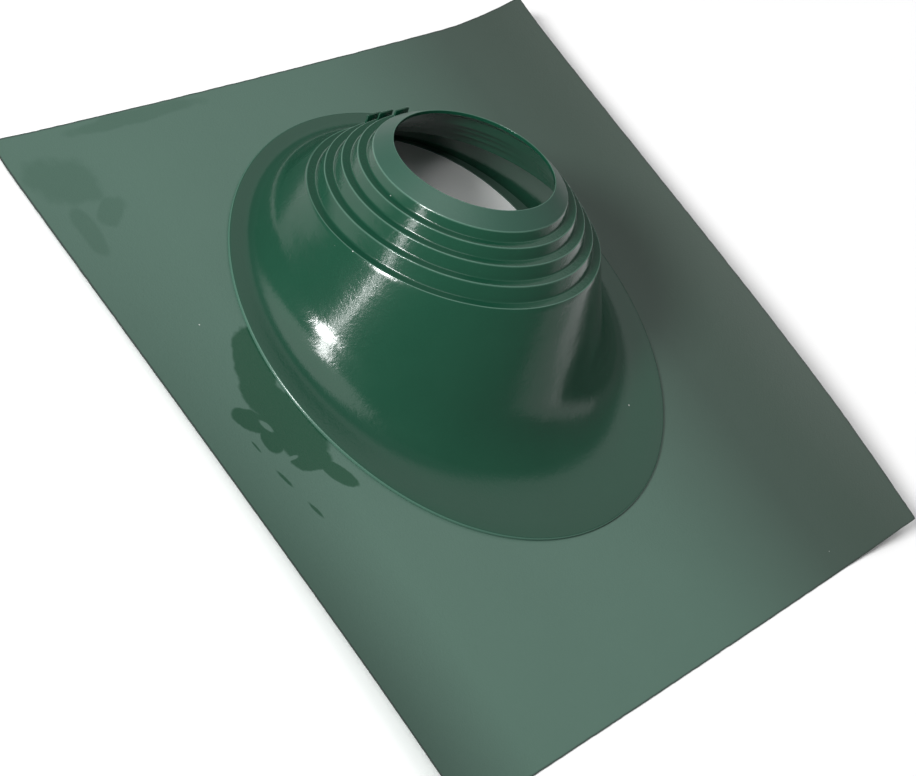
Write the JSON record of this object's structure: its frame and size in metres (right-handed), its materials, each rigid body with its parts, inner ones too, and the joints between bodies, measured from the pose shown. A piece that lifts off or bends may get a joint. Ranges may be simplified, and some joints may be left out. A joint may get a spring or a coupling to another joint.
{
  "type": "pipe flashing boot",
  "caption": "Stepped, tilted rubber cone with an oval flange, bonded on a square of thin coated sheet, that seals a round pipe where it goes through a pitched roof.",
  "frame": {"origin": "middle of the square sheet, on its flat underside", "axes": "+Z points away from the roof, +Y up the roof, the way that the pipe's axis leans, and X across it"},
  "size_m": [0.68, 0.6798, 0.155],
  "materials": {
    "coated_sheet": "satin",
    "boot_rubber": "gloss"
  },
  "bodies": {
    "root": {"base_sheet": "coated_sheet", "boot": "boot_rubber"}
  },
  "joints": []
}
